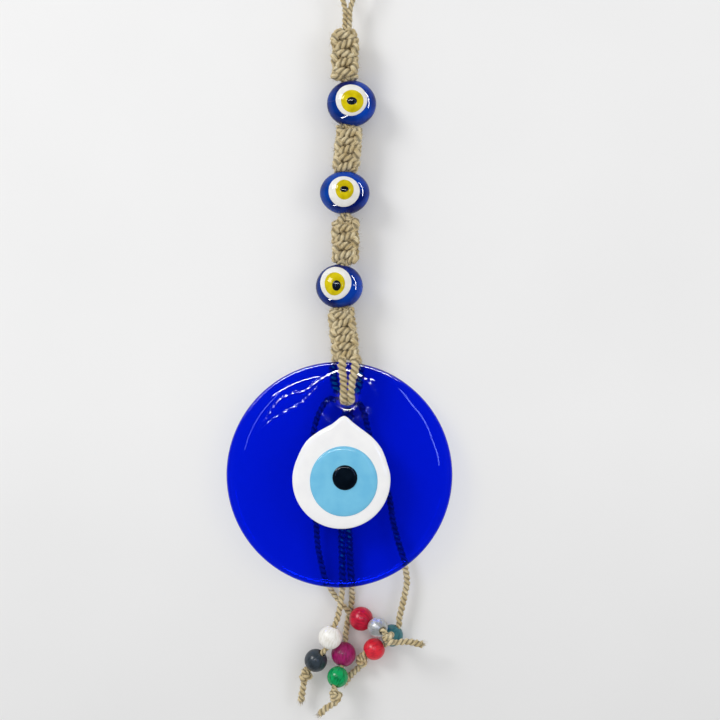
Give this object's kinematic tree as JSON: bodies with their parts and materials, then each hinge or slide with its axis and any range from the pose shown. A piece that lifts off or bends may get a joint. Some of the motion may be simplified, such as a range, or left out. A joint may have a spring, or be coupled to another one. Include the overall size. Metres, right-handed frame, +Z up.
{
  "type": "evil eye ornament",
  "caption": "Wall hanging: a round blue glass evil eye disc on a knotted jute cord threaded with glass eye beads, with cord tails that carry painted wooden beads.",
  "frame": {"origin": "inside top of the hanging loop, where a nail or hook carries it", "axes": "+Z up, -Y towards the viewer (the front of the glass disc), +X to the viewer's right"},
  "size_m": [0.1, 0.0194, 0.3346],
  "materials": {
    "jute": "two-ply natural jute twine, dry and slightly hairy",
    "cobalt_glass": "cobalt blue cast glass, fire-polished, gently wavy front",
    "opal_glass": "opaque white glass, glossy",
    "sky_glass": "opaque light blue glass, glossy",
    "ink_glass": "near-black glass, glossy",
    "bead_blue_glass": "lamp-worked cobalt bead glass, glossy",
    "bead_white_glass": "opaque white bead glass, glossy",
    "bead_yellow_glass": "opaque yellow bead glass, glossy",
    "bead_black_glass": "near-black bead glass, glossy",
    "wood_red": "crimson lacquer on turned wood, satin gloss",
    "wood_silver": "metallic silver paint on turned wood, satin gloss",
    "wood_white": "white lacquer on turned wood, satin gloss",
    "wood_black": "charcoal lacquer on turned wood, satin gloss",
    "wood_purple": "plum lacquer on turned wood, satin gloss",
    "wood_green": "green lacquer on turned wood, satin gloss",
    "wood_teal": "teal lacquer on turned wood, satin gloss",
    "wood_scarlet": "scarlet stain under lacquer on turned wood, satin gloss"
  },
  "bodies": {
    "hanger": {"hanging_loop": "jute", "sennit_1": "jute", "core_1": "jute"},
    "eye_bead_1": {"eye_bead_1_glass": "bead_blue_glass", "eye_bead_1_white": "bead_white_glass", "eye_bead_1_iris": "bead_yellow_glass", "eye_bead_1_pupil": "bead_black_glass"},
    "eye_bead_2": {"eye_bead_2_glass": "bead_blue_glass", "eye_bead_2_white": "bead_white_glass", "eye_bead_2_iris": "bead_yellow_glass", "eye_bead_2_pupil": "bead_black_glass"},
    "eye_bead_3": {"eye_bead_3_glass": "bead_blue_glass", "eye_bead_3_white": "bead_white_glass", "eye_bead_3_iris": "bead_yellow_glass", "eye_bead_3_pupil": "bead_black_glass"},
    "band_2": {"sennit_2": "jute", "core_2": "jute"},
    "band_3": {"sennit_3": "jute", "core_3": "jute"},
    "band_4": {"sennit_4": "jute", "core_4": "jute"},
    "disc_cords": {"front_cord_left": "jute", "front_cord_right": "jute", "back_cord_left": "jute", "back_cord_right": "jute", "back_knot": "jute", "tail_1_upper": "jute", "tail_2_upper": "jute", "tail_3_upper": "jute", "tail_4_upper": "jute"},
    "disc": {"disc_glass": "cobalt_glass", "disc_white": "opal_glass", "disc_iris": "sky_glass", "disc_pupil": "ink_glass"},
    "tail_1": {"tail_1_cord": "jute", "tail_1_knot": "jute", "tail_1_end": "jute"},
    "tail_2": {"tail_2_cord": "jute", "tail_2_knot": "jute", "tail_2_end": "jute"},
    "tail_3": {"tail_3_cord": "jute", "tail_3_knot": "jute", "tail_3_end": "jute"},
    "tail_4": {"tail_4_cord": "jute", "tail_4_knot": "jute", "tail_4_end": "jute"},
    "wood_bead_red": {"wood_bead_red": "wood_red"},
    "wood_bead_silver": {"wood_bead_silver": "wood_silver"},
    "wood_bead_white": {"wood_bead_white": "wood_white"},
    "wood_bead_black": {"wood_bead_black": "wood_black"},
    "wood_bead_purple": {"wood_bead_purple": "wood_purple"},
    "wood_bead_green": {"wood_bead_green": "wood_green"},
    "wood_bead_teal": {"wood_bead_teal": "wood_teal"},
    "wood_bead_scarlet": {"wood_bead_scarlet": "wood_scarlet"}
  },
  "joints": [
    {"name": "band_2_bend", "type": "hinge", "parent": "hanger", "child": "band_2", "pos_m": [-0.0008, 0, -0.0721], "axis": [1, 0, 0], "range_deg": [-15, 0]},
    {"name": "band_3_bend", "type": "hinge", "parent": "band_2", "child": "band_3", "pos_m": [-0.0015, 0, -0.1109], "axis": [1, 0, 0], "range_deg": [-15, 0]},
    {"name": "band_4_bend", "type": "hinge", "parent": "band_3", "child": "band_4", "pos_m": [-0.0025, 0, -0.1525], "axis": [1, 0, 0], "range_deg": [-15, 0]},
    {"name": "eye_bead_1_turn", "type": "hinge", "parent": "hanger", "child": "eye_bead_1", "pos_m": [-0.0008, 0, -0.0619], "axis": [0, 0, 1], "continuous": true},
    {"name": "eye_bead_2_turn", "type": "hinge", "parent": "band_2", "child": "eye_bead_2", "pos_m": [-0.0015, 0, -0.10135], "axis": [0, 0, 1], "continuous": true},
    {"name": "eye_bead_3_turn", "type": "hinge", "parent": "band_3", "child": "eye_bead_3", "pos_m": [-0.0025, 0, -0.14275], "axis": [0, 0, 1], "continuous": true},
    {"name": "disc_swing", "type": "hinge", "parent": "band_4", "child": "disc_cords", "pos_m": [-0.0023, 0, -0.1745], "axis": [1, 0, 0], "range_deg": [-15, 0]},
    {"name": "disc_rock", "type": "hinge", "parent": "disc_cords", "child": "disc", "pos_m": [-0.0007, 0, -0.1921], "axis": [0, 1, 0], "range_deg": [-8, 8]},
    {"name": "tail_1_swing", "type": "hinge", "parent": "disc_cords", "child": "tail_1", "pos_m": [-0.00895, 0.0064, -0.27638], "axis": [0, 1, 0], "range_deg": [-15, 0]},
    {"name": "tail_2_swing", "type": "hinge", "parent": "disc_cords", "child": "tail_2", "pos_m": [-0.00297, 0.0044, -0.27659], "axis": [0, 1, 0], "range_deg": [0, 15]},
    {"name": "tail_3_swing", "type": "hinge", "parent": "disc_cords", "child": "tail_3", "pos_m": [0.00125, 0.0069, -0.27631], "axis": [1, 0, 0], "range_deg": [0, 6]},
    {"name": "tail_4_swing", "type": "hinge", "parent": "disc_cords", "child": "tail_4", "pos_m": [0.02491, 0.0044, -0.26737], "axis": [0, 1, 0], "range_deg": [-20, 0]},
    {"name": "wood_bead_red_spin", "type": "hinge", "parent": "tail_1", "child": "wood_bead_red", "pos_m": [0.00542, 0.00339, -0.29042], "axis": [0.8521, -0.4211, -0.3108], "continuous": true},
    {"name": "wood_bead_silver_spin", "type": "hinge", "parent": "tail_1", "child": "wood_bead_silver", "pos_m": [0.01265, -0.00284, -0.2931], "axis": [0.5493, -0.8089, -0.2097], "continuous": true},
    {"name": "wood_bead_white_spin", "type": "hinge", "parent": "tail_2", "child": "wood_bead_white", "pos_m": [-0.00825, -0.0002, -0.298], "axis": [-0.3401, 0, -0.9404], "continuous": true},
    {"name": "wood_bead_black_spin", "type": "hinge", "parent": "tail_2", "child": "wood_bead_black", "pos_m": [-0.01469, 0.00213, -0.30868], "axis": [-0.6007, 0.3004, -0.7409], "continuous": true},
    {"name": "wood_bead_purple_spin", "type": "hinge", "parent": "tail_3", "child": "wood_bead_purple", "pos_m": [-0.00242, 0.00392, -0.30627], "axis": [-0.15, -0.3499, -0.9247], "continuous": true},
    {"name": "wood_bead_green_spin", "type": "hinge", "parent": "tail_3", "child": "wood_bead_green", "pos_m": [-0.00499, -0.0001, -0.31554], "axis": [-0.3492, -0.4191, -0.8381], "continuous": true},
    {"name": "wood_bead_teal_spin", "type": "hinge", "parent": "tail_4", "child": "wood_bead_teal", "pos_m": [0.01919, 0.0044, -0.29803], "axis": [-0.6, 0, -0.8], "continuous": true},
    {"name": "wood_bead_scarlet_spin", "type": "hinge", "parent": "tail_4", "child": "wood_bead_scarlet", "pos_m": [0.01119, 0.00385, -0.30403], "axis": [-0.9196, -0.1, -0.3799], "continuous": true}
  ]
}
